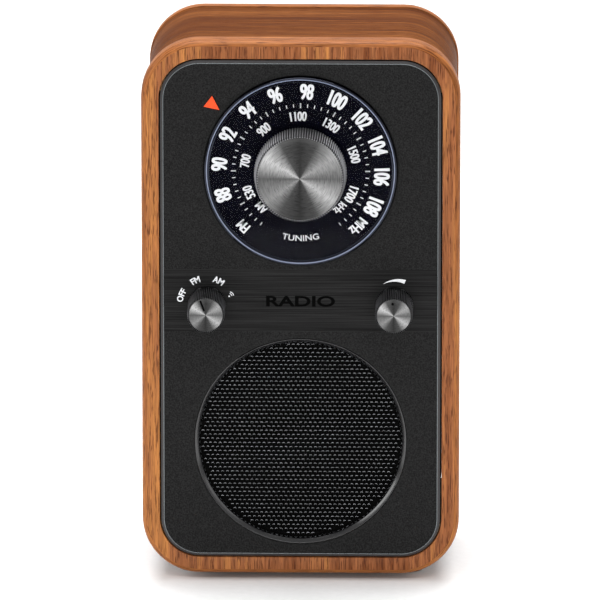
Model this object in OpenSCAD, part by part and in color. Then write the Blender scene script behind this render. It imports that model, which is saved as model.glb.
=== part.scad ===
// Portable table radio in a walnut-veneered cabinet, with a rotating dial on the tuning knob,
// a band selector, a volume control, a round loudspeaker and a telescopic rod antenna.
// X runs to the right, Y runs from the front to the back and Z runs up.
// The origin is on the table, under the middle of the radio's overall box.

/* [Cabinet] */
// Width of the wooden cabinet
cab_w = 100; // [98:0.5:106]
// Height of the wooden cabinet without its feet
cab_h = 172.4; // [172:0.1:180]
// Depth of the wooden cabinet
cab_d = 60; // [59:0.5:65]
// Corner radius of the cabinet, seen from the front
corner_r = 18.35; // [17.5:0.05:19]
// Thickness of the two rims, from the outside to the opening
wall = 5.6; // [5.2:0.1:6.2]
// How far the flat front face lies inside the cabinet's outline
face_inset = 1.6; // [0.8:0.05:1.7]
// Depth of the round-over behind the flat front face
roundover_d = 2.6; // [2:0.1:3.5]
// Depth of the front rim
front_rim_d = 7.6; // [6.5:0.1:9]
// Depth of the rear rim
rear_rim_d = 4; // [3.5:0.1:6]
// How much smaller the rear rim is than the front rim, on each side
rear_rim_in = 0.9; // [0:0.1:1]
// How far the waist between the rims is sunk
waist_in = 1.3; // [0.8:0.05:1.8]
// Gap between the table and the cabinet
foot_gap = 1.9; // [1:0.1:3]

/* [Front panel] */
// Thickness of the moulded front panel
panel_t = 3; // [2.8:0.1:3.2]
// How far the panel stands in front of the wood
panel_proud = 0.3; // [0.1:0.05:0.5]
// Gap between the panel and the wood
panel_gap = 0.45; // [0.3:0.05:0.6]
// Width of the bevel round the panel's edge
panel_bevel = 0.9; // [0.5:0.05:1.2]

/* [Dial and knobs] */
// Height of the dial's centre above the table
dial_z = 133.1; // [133:0.1:136]
// Radius of the dial
dial_r = 30.2; // [29:0.1:31]
// How far the dial stands in front of the panel
dial_proud = 1.7; // [1.4:0.1:2]
// Radius of the tuning knob at its base
tuning_r = 14.6; // [14:0.1:15.5]
// Length of the tuning knob in front of the dial
tuning_len = 9.7; // [9.5:0.1:14]
// Height of the two small knobs above the table
knobs_z = 89.8; // [89:0.1:91]
// Distance of each small knob from the middle
knobs_x = 29.4; // [28.5:0.1:30.5]
// Radius of a small knob at its base
small_r = 6; // [5.95:0.05:6.5]
// Length of a small knob in front of the panel
small_len = 13.9; // [11.5:0.1:14]
// Radius of the three control shafts
shaft_r = 3; // [2.9:0.05:3.1]

/* [Loudspeaker] */
// Height of the loudspeaker's centre above the table
speaker_z = 45.5; // [45.5:0.05:46.5]
// Radius of the trim ring round the grille
ring_r = 33.5; // [33:0.1:33.6]
// Radius of the grille that shows
grille_r = 31.9; // [31:0.1:32.2]
// How deep the grille lies behind the panel's face
grille_depth = 1.6; // [1.4:0.1:1.7]

/* [Battery compartment] */
// Radius of a cell
cell_r = 7.1; // [7:0.05:7.2]
// Length of a cell
cell_l = 50.2; // [49.5:0.1:50.5]

/* [Antenna] */
// Distance of the antenna from the middle
antenna_x = 37.5; // [36:0.1:38]
// Height of the antenna's pivot above the table
antenna_z = 148; // [146:0.5:150]
// Radius of the outermost tube
tube_r = 3; // [2.9:0.05:3]
// Length of the outermost tube
tube_l = 100; // [90:1:100]

/* [Hidden] */

$fn = 96;
fit = 0.05;             // radial running clearance of a shaft or a sliding tube
seat = 0.1;             // clearance between parts that are screwed or glued together
eps = 0.01;

// The cabinet's outlines are all drawn round the same four corner centres.
core_x = cab_w/2 - corner_r;
core_z = cab_h/2 - corner_r;
mid_z = foot_gap + cab_h/2;
opening_r = corner_r - wall;
waist_r = corner_r - waist_in;

// Depths, counted from the wood's flat front face.
panel_front = -panel_proud;
panel_back = panel_front + panel_t;
dial_front = panel_front - dial_proud;
recess_y = 1.2;         // floor of the dial's recess in the panel
nut_floor_y = 3;        // floor of each nut's pocket
control_y = 4.4;        // front of the three controls
control_d = 8;
board_y = 13.2;
board_t = 1.6;
board_back = board_y + board_t;
board_bottom = 84;
board_top = 150;
rear_y = cab_d - 3.5;   // front of the rear panel
rear_t = 2.5;
rear_back = rear_y + rear_t;

grille_y = panel_front + grille_depth;
pocket_r = 35.2;        // pocket for the grille and the dust cloth
ear_r = 37.6;           // loudspeaker screws, from its centre
speaker_back = 28.2;

cell_pitch = 2*cell_r + 0.6;
tray_in_x = cell_l/2 + 2.8;
tray_in_z = 2*cell_pitch + 0.2;
tray_wall = 1.4;
tray_z = 46;            // middle of the compartment
door_t = 1.4;
door_x = tray_in_x + 3.1;
door_top = tray_z + tray_in_z + 2.6;
hinge_z = tray_z - tray_in_z - 1.9;
hinge_y = rear_back - door_t/2;

pivot_y = cab_d + 4.2;  // the antenna's tilting axis
ear_disc_r = tube_r + 0.2;
tube_top = antenna_z - 3.7;
tube_wall = 0.35;
tube_step = fit + tube_wall;
tip_l = 5;

jack_z = 100;
jack_x = 17;

// The overall box runs from the foremost knob's face to the antenna's knuckle.
face_y = -(min(dial_front - tuning_len, panel_front - small_len) + pivot_y + ear_disc_r)/2;

// ---------- helpers ----------

module from_face() translate([0, face_y, 0]) children();

// A flat shape in X and Z, made solid from depth y0 to depth y1.
module plate(y0, y1) translate([0, y1, 0]) rotate([90, 0, 0]) linear_extrude(y1 - y0) children();

// The cabinet's outline, at a distance r from the corner centres.
module outline(r) {
    square([2*(core_x + r), 2*core_z], center = true);
    square([2*core_x, 2*(core_z + r)], center = true);
    for (x = [-core_x, core_x], z = [-core_z, core_z]) translate([x, z]) circle(r);
}

// A profile run round the cabinet: x is the distance from the corner centres, y is minus the depth.
module moulding() translate([0, 0, mid_z]) rotate([90, 0, 0])
    for (k = [0:3]) rotate([0, 0, 90*k]) {
        out = k % 2 == 0 ? core_x : core_z;
        along = k % 2 == 0 ? core_z : core_x;
        translate([out, along, 0]) rotate([90, 0, 0]) linear_extrude(2*along) children();
        translate([out, along, 0]) rotate_extrude(angle = 90) children();
    }

// A turned part on an axis along Y: x is the radius, y is the distance in front of depth y0.
module turned(x, z, y0) translate([x, y0, z]) rotate([90, 0, 0]) rotate_extrude() children();

module rod_y(x, z, y0, y1, r) translate([x, y1, z]) rotate([90, 0, 0]) cylinder(r = r, h = y1 - y0);

module rod_x(x0, x1, y, z, r) translate([x0, y, z]) rotate([0, 90, 0]) cylinder(r = r, h = x1 - x0);

module block(x0, x1, y0, y1, z0, z1) translate([x0, y0, z0]) cube([x1 - x0, y1 - y0, z1 - z0]);

// A wire through a list of points, straight between them, with a small bead at each bend.
module wire(points, r) {
    for (i = [0:len(points) - 2]) {
        d = points[i + 1] - points[i];
        flat = norm([d[0], d[1]]);
        translate(points[i]) rotate([0, atan2(flat, d[2]), atan2(d[1], d[0])])
            cylinder(r = r, h = norm(d), $fn = 24);
    }
    for (i = [1:len(points) - 2]) translate(points[i]) sphere(r = r + 0.1, $fn = 24);
}

// ---------- cabinet ----------

module front_frame() color("sienna") from_face() moulding() {
    start = 35;
    polygon(concat(
        [[opening_r, -front_rim_d], [opening_r, 0]],
        [for (a = [start:11:90]) [
            corner_r - face_inset + face_inset*(sin(a) - sin(start))/(1 - sin(start)),
            -roundover_d*(cos(start) - cos(a))/cos(start)]],
        [[corner_r, -front_rim_d]]));
}

module cabinet_sleeve() color("saddlebrown") from_face() moulding()
    translate([opening_r, -(cab_d - rear_rim_d)])
        square([waist_r - opening_r, cab_d - rear_rim_d - front_rim_d]);

module rear_frame() color("sienna") from_face() moulding() {
    edge = 0.3;
    rear_r = corner_r - rear_rim_in;
    polygon([
        [opening_r, -cab_d], [opening_r, rear_rim_d - cab_d],
        [rear_r - edge, rear_rim_d - cab_d], [rear_r, rear_rim_d - cab_d - edge],
        [rear_r, edge - cab_d], [rear_r - edge, -cab_d]]);
}

// Four glued blocks in the corners take the rear screws.
block_in = 11;
screw_x = core_x + opening_r - 7.7;
screw_z = core_z + opening_r - 7.7;

module corner_blocks() color("burlywood") from_face() translate([0, 0, mid_z]) difference() {
    intersection() {
        plate(panel_back, rear_y) outline(opening_r - seat);
        for (x = [-1, 1], z = [-1, 1])
            translate([x*(core_x + opening_r), cab_d/2, z*(core_z + opening_r)])
                cube([2*block_in, cab_d, 2*block_in], center = true);
    }
    for (x = [-screw_x, screw_x], z = [-screw_z, screw_z]) rod_y(x, z, rear_y - 13, rear_y + eps, 1.3);
}

module rubber_feet() color("dimgray") from_face()
    for (x = [-34, 34], y = [front_rim_d + 7, cab_d - rear_rim_d - 7])
        translate([x, y, 0]) rotate_extrude() {
            foot_h = foot_gap + waist_in;
            polygon([[0, 0], [4.4, 0], [5, 0.6], [5, foot_h], [0, foot_h]]);
        }

// ---------- front panel ----------

panel_r = opening_r - panel_gap;

module front_panel() color("#2b2b2b") from_face() difference() {
    union() {
        moulding() polygon([
            [panel_r - 3, -panel_back], [panel_r - 3, -panel_front], [panel_r - panel_bevel, -panel_front],
            [panel_r, -panel_front - 0.6*panel_bevel], [panel_r, -panel_back]]);
        translate([0, 0, mid_z]) plate(panel_front, panel_back) outline(panel_r - 2);
        for (x = [-knobs_x, knobs_x]) rod_y(x, knobs_z, panel_back - 1, control_y, 9);
        rod_y(0, dial_z, panel_back - 1, control_y, 10);
        for (p = board_posts) rod_y(p[0], p[1], panel_back - 1, board_y, 3);
    }
    // Recess for the dial
    rod_y(0, dial_z, panel_front - 1, recess_y, dial_r + 0.4);
    // Pockets for the nuts and holes for the bushings
    for (p = controls) {
        rod_y(p[0], p[1], panel_front - 1, nut_floor_y, 5.85);
        rod_y(p[0], p[1], panel_front - 1, control_y + 1, 3.6);
    }
    // Opening for the loudspeaker, with the seat of its trim ring and the grille's pocket
    rod_y(0, speaker_z, panel_front - 1, panel_back + 1, grille_r + 0.3);
    rod_y(0, speaker_z, panel_front - 1, grille_y, ring_r);
    rod_y(0, speaker_z, grille_y, panel_back + 1, pocket_r);
    // Screw holes from behind
    for (p = board_posts) rod_y(p[0], p[1], board_y - 8, board_y + 1, 1.05);
    for (p = speaker_holes) rod_y(p[0], p[1], panel_back - 1.8, panel_back + 1, 0.85);
}

controls = [[0, dial_z], [-knobs_x, knobs_z], [knobs_x, knobs_z]];
board_posts = [for (x = [-38, 38], z = [104, 146]) [x, z]];
speaker_holes = [for (a = [45:90:315]) [ear_r*cos(a), speaker_z + ear_r*sin(a)]];
pointer_angle = -52.5;

module tuning_pointer() color("orangered") from_face() translate([0, 0, dial_z])
    rotate([0, pointer_angle, 0]) plate(panel_front - 0.4, panel_front)
        polygon([[0, dial_r + 1.8], [2.15, dial_r + 6.3], [-2.15, dial_r + 6.3]]);

module grille_ring() color("gray") from_face() turned(0, speaker_z, grille_y)
    polygon([
        [grille_r, 0], [ring_r - seat, 0], [ring_r - seat, grille_depth + 0.15],
        [ring_r - 0.5, grille_depth + 0.15], [grille_r + 0.2, 0.9]]);

module speaker_grille() color("#151515") from_face()
    turned(0, speaker_z, grille_y) translate([0, -0.6]) square([pocket_r - seat, 0.6]);

module dust_cloth() color("black") from_face()
    turned(0, speaker_z, grille_y) translate([0, -1.05]) square([pocket_r - 2*seat, 0.4]);

// ---------- loudspeaker ----------

flange_t = 1.2;
flange_y = panel_back + flange_t;

module speaker_basket() color("silver") from_face() difference() {
    union() {
        turned(0, speaker_z, panel_back)
            polygon([[28.2, 0], [33.5, 0], [33.5, -flange_t], [30.4, -flange_t], [18.2, -12.3],
                [18.2, -13.5], [8.4, -13.5], [8.4, -12.7], [17, -12.7], [17, -12.1], [28.2, -2]]);
        for (p = speaker_holes) rod_y(p[0], p[1], panel_back, flange_y, 3.4);
        for (a = [45:90:315]) translate([0, 0, speaker_z]) rotate([0, a, 0])
            block(31.5, ear_r - 1.8, panel_back, flange_y, -2.6, 2.6);
    }
    for (p = speaker_holes) rod_y(p[0], p[1], panel_back - 1, flange_y + 1, 1.2);
    // Windows in the basket's wall
    for (a = [0:90:270]) translate([0, 0, speaker_z]) rotate([0, a, 0])
        block(18.9, 27.5, flange_y + 1.4, panel_back + 11, -6, 6);
}

module speaker_magnet() color("#303030") from_face() turned(0, speaker_z, panel_back + 13.5) {
    translate([8.4, -2.5]) square([7.6, 2.5]);
    translate([9.6, -9.5]) square([6.9, 7 + eps]);
}

module speaker_yoke() color("silver") from_face() turned(0, speaker_z, speaker_back)
    polygon([[0, 0], [16, 0], [16, 2.5], [6.4, 2.5], [6.4, 12], [0, 12]]);

// Half roll between the cone and the basket.
module speaker_surround() color("#202020") from_face() turned(0, speaker_z, panel_back + 2)
    translate([26.3, 0]) intersection() {
        difference() {
            circle(1.9);
            circle(1.4);
        }
        translate([-2, 0]) square([4, 2]);
    }

module speaker_cone() color("#3a3a3a") from_face() turned(0, speaker_z, panel_back)
    polygon([[24.3, -1.4], [24.3, -2], [7.9, -12], [7.1, -12], [7.1, -11.2]]);

module dust_cap() color("#2a2a2a") from_face() turned(0, speaker_z, panel_back + 10.6)
    intersection() {
        difference() {
            translate([0, -5.6]) circle(9.6);
            translate([0, -5.6]) circle(9.1);
        }
        translate([0, -0.1]) square([8, 6]);
    }

module voice_coil() color("peru") from_face() turned(0, speaker_z, panel_back + 12)
    translate([6.9, -7]) square([0.9, 7]);

module speaker_terminals() color("tan") from_face() {
    block(-7, 7, flange_y, flange_y + 1.2, speaker_z + 30.6, speaker_z + 33);
    for (x = [-4, 4]) block(x - 1, x + 1, flange_y + 1.2, flange_y + 1.7, speaker_z + 30.8, speaker_z + 35);
}

module speaker_screws() color("silver") from_face() for (p = speaker_holes) {
    rod_y(p[0], p[1], panel_back - 1.6, flange_y, 0.8);
    rod_y(p[0], p[1], flange_y, flange_y + 1.2, 2);
}

// ---------- controls ----------

// Body of a potentiometer or rotary switch, with a threaded bushing and a chamber for its rotor.
module control_body(x, z) difference() {
    union() {
        rod_y(x, z, control_y, control_y + control_d, 8.2);
        rod_y(x, z, nut_floor_y - 2.4, control_y + eps, 3.5);
        block(x - 6, x + 6, control_y + 2, control_y + 4, z - 10.5, z);
    }
    rod_y(x, z, 0, control_y + 6.2, shaft_r + fit);
    rod_y(x, z, control_y + 3.6, control_y + 5.8, 6);
}

module tuning_control() color("silver") from_face() control_body(0, dial_z);
module band_switch() color("silver") from_face() control_body(-knobs_x, knobs_z);
module volume_control() color("silver") from_face() control_body(knobs_x, knobs_z);

module shaft_nuts() color("silver") from_face() for (p = controls) difference() {
    translate([p[0], nut_floor_y - seat, p[1]]) rotate([90, 0, 0]) cylinder(r = 5.7, h = 1.6, $fn = 6);
    rod_y(p[0], p[1], 0, nut_floor_y + 1, 3.5 + fit);
}

// A control's shaft with its rotor.
module control_shaft(x, z, y0) {
    rod_y(x, z, y0, control_y + 6, shaft_r);
    rod_y(x, z, control_y + 4, control_y + 5.4, 5.6);
}

module dial_plate() color("#05050f") from_face() turned(0, dial_z, 0.4)
    polygon([[shaft_r + fit, 0], [dial_r - 1.1, 0], [dial_r - 1.1, 1.2], [shaft_r + fit, 1.2]]);

// Clear cover over the printed plate, with a rounded rim.
module dial_lens() color("lightsteelblue") from_face() turned(0, dial_z, dial_front) {
    rim = 1.2;
    polygon(concat(
        [[shaft_r + fit, -1], [shaft_r + fit, 0]],
        [for (a = [90:-15:0]) [dial_r - rim + rim*cos(a), -rim + rim*sin(a)]],
        [[dial_r, -2.7], [dial_r - 1, -2.7], [dial_r - 1, -1]]));
}

module tuning_knob() color("#1d1d1d") from_face() turned(0, dial_z, dial_front)
    polygon([
        [shaft_r + fit, 0], [tuning_r, 0], [tuning_r, 0.6], [tuning_r - 0.5, tuning_len - 0.5],
        [tuning_r - 0.8, tuning_len], [tuning_r - 1.1, tuning_len], [tuning_r - 1.1, tuning_len - 0.9],
        [0, tuning_len - 0.9], [0, tuning_len - 2.9], [shaft_r + fit, tuning_len - 2.9]]);

module tuning_knob_cap() color("gray") from_face() turned(0, dial_z, dial_front - tuning_len + 0.9)
    polygon([[0, 0], [tuning_r - 1.2, 0], [tuning_r - 1.2, 0.6], [tuning_r - 1.5, 0.8], [0, 0.7]]);

module tuning_shaft() color("silver") from_face()
    control_shaft(0, dial_z, dial_front - tuning_len + 3);

module small_knob(x) turned(x, knobs_z, panel_front)
    polygon([
        [shaft_r + fit, 0.35], [small_r, 0.35], [small_r, 0.9], [small_r - 0.1, small_len - 0.4],
        [small_r - 0.2, small_len], [small_r - 0.45, small_len], [small_r - 0.45, small_len - 0.6],
        [0, small_len - 0.6], [0, small_len - 2], [shaft_r + fit, small_len - 2]]);

module small_cap(x) turned(x, knobs_z, panel_front - small_len + 0.6)
    polygon([[0, 0], [small_r - 0.55, 0], [small_r - 0.55, 0.35], [small_r - 0.75, 0.5], [0, 0.45]]);

module band_knob() color("#1d1d1d") from_face() small_knob(-knobs_x);
module band_knob_cap() color("gray") from_face() small_cap(-knobs_x);
module band_shaft() color("silver") from_face() control_shaft(-knobs_x, knobs_z, panel_front - small_len + 2.1);
module volume_knob() color("#1d1d1d") from_face() small_knob(knobs_x);
module volume_knob_cap() color("gray") from_face() small_cap(knobs_x);
module volume_shaft() color("silver") from_face() control_shaft(knobs_x, knobs_z, panel_front - small_len + 2.1);

// ---------- electronics ----------

module main_board() color("darkgreen") from_face() difference() {
    block(-41.5, 41.5, board_y, board_back, board_bottom, board_top);
    for (p = board_posts) rod_y(p[0], p[1], board_y - 1, board_back + 1, 1.3);
}

// The tuner, the sound processor and the power amplifier.
module board_chips() color("#1a1a1a") from_face() {
    block(-22, -12, board_back, board_back + 1.6, 118, 128);
    block(6, 13, board_back, board_back + 1.4, 120, 127);
    block(14, 26, board_back, board_back + 2.2, 96, 104);
}

module wireless_module() color("seagreen") from_face() {
    block(-34, -16, board_back, board_back + 0.8, 98, 112);
    block(-32, -18, board_back + 0.8, board_back + 2.6, 99, 109);
}

module capacitors() color("midnightblue") from_face()
    for (p = [[2, 104], [2, 114], [30, 118]]) rod_y(p[0], p[1], board_back, board_back + 11, 4);

jack_posts = [-27, 27];
jack_board_y = rear_y - 15.5;
jack_screw_y = rear_y - 5.5;

module board_screws() color("silver") from_face() {
    for (p = board_posts) {
        rod_y(p[0], p[1], board_y - 7, board_back, 1);
        rod_y(p[0], p[1], board_back, board_back + 1.3, 2.2);
    }
    for (x = jack_posts) {
        translate([x, jack_screw_y, jack_z - 8]) cylinder(r = 1, h = 6.8);
        translate([x, jack_screw_y, jack_z - 2.4 + seat]) cylinder(r = 2.2, h = 1.3);
    }
}

ferrite_y = 24;
ferrite_z = 157;
ferrite_r = 4;

module ferrite_rod() color("#333333") from_face() rod_x(-31, 31, ferrite_y, ferrite_z, ferrite_r);

module ferrite_coil() color("peru") from_face() difference() {
    rod_x(-14, 14, ferrite_y, ferrite_z, ferrite_r + 0.9);
    rod_x(-15, 15, ferrite_y, ferrite_z, ferrite_r + fit);
}

module ferrite_clamps() color("ivory") from_face() for (x = [-24, 24]) difference() {
    union() {
        block(x - 3, x + 3, board_back, board_back + 2, ferrite_z - 17, ferrite_z + 6);
        block(x - 3, x + 3, board_back, ferrite_y + 6, ferrite_z - 6, ferrite_z + 6);
    }
    rod_x(x - 4, x + 4, ferrite_y, ferrite_z, ferrite_r + fit);
}

// ---------- rear ----------

module rear_panel() color("#222222") from_face() difference() {
    union() {
        translate([0, 0, mid_z]) plate(rear_y, rear_back) outline(opening_r - 0.3);
        for (x = jack_posts) block(x - 3, x + 3, rear_y - 9.5, rear_y + eps, jack_z - 10, jack_z - 4);
    }
    // Compartment opening, the door's rebate and the holes for its two hinge pins
    block(-tray_in_x, tray_in_x, rear_y - 1, cab_d, tray_z - tray_in_z, tray_z + tray_in_z);
    block(-door_x - 0.3, door_x + 0.3, rear_back - door_t - 0.2, cab_d, hinge_z - 1.1, door_top + 0.3);
    rod_x(-door_x - 2, door_x + 2, hinge_y, hinge_z, 0.55);
    // Finger notch above the door
    rod_y(0, door_top + 3, rear_back - 1.2, cab_d, 7);
    // Sockets
    for (x = [-jack_x, jack_x]) rod_y(x, jack_z, rear_y - 1, cab_d, 3.1);
    rod_y(0, jack_z, rear_y - 1, cab_d, 4.1);
    for (x = jack_posts) translate([x, jack_screw_y, jack_z - 8.5]) cylinder(r = 1.05, h = 6);
    // Antenna swivel
    rod_y(antenna_x, antenna_z, rear_y - 1, cab_d, 3 + fit);
    // Countersunk screw holes
    for (x = [-screw_x, screw_x], z = [mid_z - screw_z, mid_z + screw_z])
        turned(x, z, rear_back + eps) polygon([[0, 0], [2.9, 0], [1.6, 1.4], [1.6, 4], [0, 4]]);
}

module rear_screws() color("#303030") from_face()
    for (x = [-screw_x, screw_x], z = [mid_z - screw_z, mid_z + screw_z])
        turned(x, z, rear_back)
            polygon([[0, 0.1], [2.7, 0.1], [1.25, 1.6], [1.25, 14], [0, 14]]);

module jack_board() color("darkgreen") from_face() difference() {
    block(-31, 31, jack_board_y, rear_y - 1.2, jack_z - 4, jack_z - 2.4);
    for (x = jack_posts) translate([x, jack_screw_y, jack_z - 5]) cylinder(r = 1.1, h = 4);
}

// A socket with its mouth at the back.
module socket(x, half_w, nose_r, bore_r, depth) difference() {
    union() {
        block(x - half_w, x + half_w, rear_y - 14, rear_y - seat, jack_z - 2.4, jack_z + half_w);
        rod_y(x, jack_z, rear_y - 1, rear_back - 0.4, nose_r);
    }
    rod_y(x, jack_z, rear_back - 0.4 - depth, cab_d, bore_r);
}

module aux_jack() color("#111111") from_face() socket(-jack_x, 3.4, 3, 1.8, 12.5);
module phones_jack() color("#111111") from_face() socket(jack_x, 3.4, 3, 1.8, 12.5);
module power_inlet() color("#111111") from_face() {
    socket(0, 4.6, 4, 2.8, 10);
    rod_y(0, jack_z, rear_back - 10.5, rear_back - 1.6, 1);
}

module battery_tray() color("#222222") from_face() difference() {
    block(-tray_in_x - tray_wall, tray_in_x + tray_wall, rear_y - 16.3, rear_y,
        tray_z - tray_in_z - tray_wall, tray_z + tray_in_z + tray_wall);
    block(-tray_in_x, tray_in_x, rear_y - 15, rear_y + 1, tray_z - tray_in_z, tray_z + tray_in_z);
}

cell_y = rear_y - 15 + cell_r + 0.15;
cell_zs = [for (i = [-1.5:1:1.5]) tray_z + i*cell_pitch];

// A pressed button at one end of each cell and a spring at the other, each on its own plate.
module battery_contacts() color("silver") from_face() for (i = [0:3]) {
    side = i % 2 == 0 ? 1 : -1;
    z = cell_zs[i];
    for (s = [-1, 1]) {
        x = s*(tray_in_x - 0.3);
        block(x - 0.25, x + 0.25, cell_y - 5.5, cell_y + 5.5, z - 5.5, z + 5.5);
    }
    translate([side*(tray_in_x - 0.55), cell_y, z]) rotate([0, -90*side, 0])
        cylinder(r1 = 3.6, r2 = 2.4, h = 2.2);
    translate([side*(0.55 - tray_in_x), cell_y, z]) rotate([0, 90*side, 0])
        cylinder(r = 2.4, h = 2.2);
}

module battery_cells() color("goldenrod") from_face() for (i = [0:3]) {
    side = i % 2 == 0 ? 1 : -1;
    z = cell_zs[i];
    end = tray_in_x - 2.8;
    rod_x(-end + (side < 0 ? 0 : 1.2), end - (side < 0 ? 1.2 : 0), cell_y, z, cell_r);
    rod_x(side < 0 ? end - 1.3 : -end, side < 0 ? end : -end + 1.3, cell_y, z, 2.6);
}

// The door turns on its rounded lower edge.
module battery_door() color("#262626") from_face() {
    block(-door_x, door_x, rear_back - door_t, rear_back, hinge_z, door_top);
    rod_x(-door_x, door_x, hinge_y, hinge_z, door_t/2);
    rod_x(-door_x - 1.5, door_x + 1.5, hinge_y, hinge_z, 0.5);
}

// ---------- antenna ----------

module antenna_swivel() color("silver") from_face() difference() {
    union() {
        rod_y(antenna_x, antenna_z, rear_y - 2, cab_d, 3);
        rod_y(antenna_x, antenna_z, rear_y - 1.2, rear_y - seat, 4.4);
        rod_y(antenna_x, antenna_z, rear_back + seat, cab_d + 0.6, 4.2);
        for (s = [-1, 1]) {
            x = antenna_x + s*2.7;
            rod_x(x - 0.7, x + 0.7, pivot_y, antenna_z, ear_disc_r);
            block(x - 0.7, x + 0.7, cab_d, pivot_y, antenna_z - ear_disc_r, antenna_z + ear_disc_r);
        }
    }
    rod_x(antenna_x - 4, antenna_x + 4, pivot_y, antenna_z, 1);
}

// Tongue, tilting pin and the plug that closes the outermost tube.
module antenna_knuckle() color("silver") from_face() {
    rod_x(antenna_x - 1.9, antenna_x + 1.9, pivot_y, antenna_z, tube_r);
    block(antenna_x - 1.9, antenna_x + 1.9, pivot_y - 2, pivot_y + 2, tube_top, antenna_z);
    rod_x(antenna_x - 3.4, antenna_x + 3.4, pivot_y, antenna_z, 1 - fit);
    translate([antenna_x, pivot_y, tube_top - 2]) cylinder(r = tube_r - tube_wall, h = 2);
}

// Tube i of the mast: each fits inside the one before it and stands out 1 mm below it.
module mast_tube(i, solid = false) {
    r = tube_r - i*tube_step;
    bottom = tube_top - tube_l - i;
    top = i == 0 ? tube_top : tube_top - 3 - i;
    translate([antenna_x, pivot_y, bottom]) difference() {
        cylinder(r = r, h = top - bottom);
        if (!solid) translate([0, 0, -1]) cylinder(r = r - tube_wall, h = top - bottom + 2);
    }
}

module antenna_tube_1() color("silver") from_face() mast_tube(0);
module antenna_tube_2() color("silver") from_face() mast_tube(1);
module antenna_tube_3() color("silver") from_face() mast_tube(2);
module antenna_tube_4() color("silver") from_face() mast_tube(3);
module antenna_rod() color("silver") from_face() {
    mast_tube(4, solid = true);
    translate([antenna_x, pivot_y, tube_top - tube_l - 4 - tip_l]) rotate_extrude()
        polygon([[0, 0], [2.2, 0], [2.7, 0.6], [2.7, tip_l - 0.5], [2.2, tip_l], [0, tip_l]]);
}

// ---------- wiring ----------

wire_r = 0.6;

module leads() color("firebrick") from_face() {
    for (x = [-4, 4]) wire([[x, flange_y + 2.4, speaker_z + 34], [x, 9, speaker_z + 36],
        [x, board_y - wire_r, board_bottom + 3]], wire_r);
    for (x = [-20, 20]) wire([[x, rear_y - 9, tray_z + tray_in_z + 2.1], [x, 34, 82], [x, 20, 86],
        [x, board_back + wire_r, 91]], wire_r);
    wire([[antenna_x - 2, rear_y - 2.8, antenna_z], [antenna_x - 4, 40, 142], [34, 22, 138],
        [34, board_back + wire_r, 138]], wire_r);
    block(-9, 9, board_back, jack_board_y, jack_z - 3.4, jack_z - 2.9);
}

front_frame();
cabinet_sleeve();
rear_frame();
corner_blocks();
rubber_feet();
front_panel();
tuning_pointer();
grille_ring();
speaker_grille();
dust_cloth();
speaker_basket();
speaker_magnet();
speaker_yoke();
speaker_surround();
speaker_cone();
dust_cap();
voice_coil();
speaker_terminals();
speaker_screws();
tuning_control();
band_switch();
volume_control();
shaft_nuts();
dial_plate();
dial_lens();
tuning_knob();
tuning_knob_cap();
tuning_shaft();
band_knob();
band_knob_cap();
band_shaft();
volume_knob();
volume_knob_cap();
volume_shaft();
main_board();
board_chips();
wireless_module();
capacitors();
board_screws();
ferrite_rod();
ferrite_coil();
ferrite_clamps();
rear_panel();
rear_screws();
jack_board();
aux_jack();
phones_jack();
power_inlet();
battery_tray();
battery_contacts();
battery_cells();
battery_door();
antenna_swivel();
antenna_knuckle();
antenna_tube_1();
antenna_tube_2();
antenna_tube_3();
antenna_tube_4();
antenna_rod();
leads();
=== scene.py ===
import math

import bmesh
import bpy
from mathutils import Matrix, Vector


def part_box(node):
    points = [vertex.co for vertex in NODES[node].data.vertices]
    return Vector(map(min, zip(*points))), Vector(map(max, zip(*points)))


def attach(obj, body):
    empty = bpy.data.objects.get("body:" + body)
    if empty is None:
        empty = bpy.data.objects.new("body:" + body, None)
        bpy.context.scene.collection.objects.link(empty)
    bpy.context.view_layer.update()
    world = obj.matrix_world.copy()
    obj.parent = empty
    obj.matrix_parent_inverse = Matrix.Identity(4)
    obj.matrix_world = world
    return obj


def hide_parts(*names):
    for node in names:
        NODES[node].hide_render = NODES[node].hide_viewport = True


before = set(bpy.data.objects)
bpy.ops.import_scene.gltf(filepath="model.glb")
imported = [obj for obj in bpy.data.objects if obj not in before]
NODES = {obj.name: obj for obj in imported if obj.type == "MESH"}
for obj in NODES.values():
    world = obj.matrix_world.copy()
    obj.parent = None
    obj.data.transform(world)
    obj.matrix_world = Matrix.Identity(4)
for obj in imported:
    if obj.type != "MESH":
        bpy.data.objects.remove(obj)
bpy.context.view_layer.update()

# A table radio: walnut-veneered cabinet, moulded panel, rotating dial, two knobs, a perforated grille.
# Lengths in the calls below are millimetres; MM turns them into the frame's metres.
MM = 0.001

# Depths are counted from the wood's flat front face, backwards, as in the part's source.
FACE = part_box("front_frame")[0].y


def edge(name, end):
    """The depth of a CAD node's foremost point (end 0) or rearmost point (end 1)."""
    return (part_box(name)[end].y - FACE) / MM


def middle(name, axis):
    """The middle of a CAD node's box along X (0) or Z (2)."""
    low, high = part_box(name)
    return (low[axis] + high[axis]) / 2 / MM


DIAL_Z = middle("dial_lens", 2)
SPEAKER_Z = middle("grille_ring", 2)
KNOBS_Z = middle("band_knob", 2)
KNOBS_X = middle("volume_knob", 0)
PANEL_Y = edge("front_panel", 0)
DIAL_Y = edge("dial_lens", 0)
PRINT_Y = edge("dial_plate", 0)
REAR_Y = edge("battery_door", 1)
CAB_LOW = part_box("front_frame")[0].z / MM
CAB_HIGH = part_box("front_frame")[1].z / MM
CAB_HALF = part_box("front_frame")[1].x / MM
CORNER_R = 18.35
CORE_X = CAB_HALF - CORNER_R
MID_Z = (CAB_LOW + CAB_HIGH) / 2
CORE_Z = (CAB_HIGH - CAB_LOW) / 2 - CORNER_R
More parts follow.
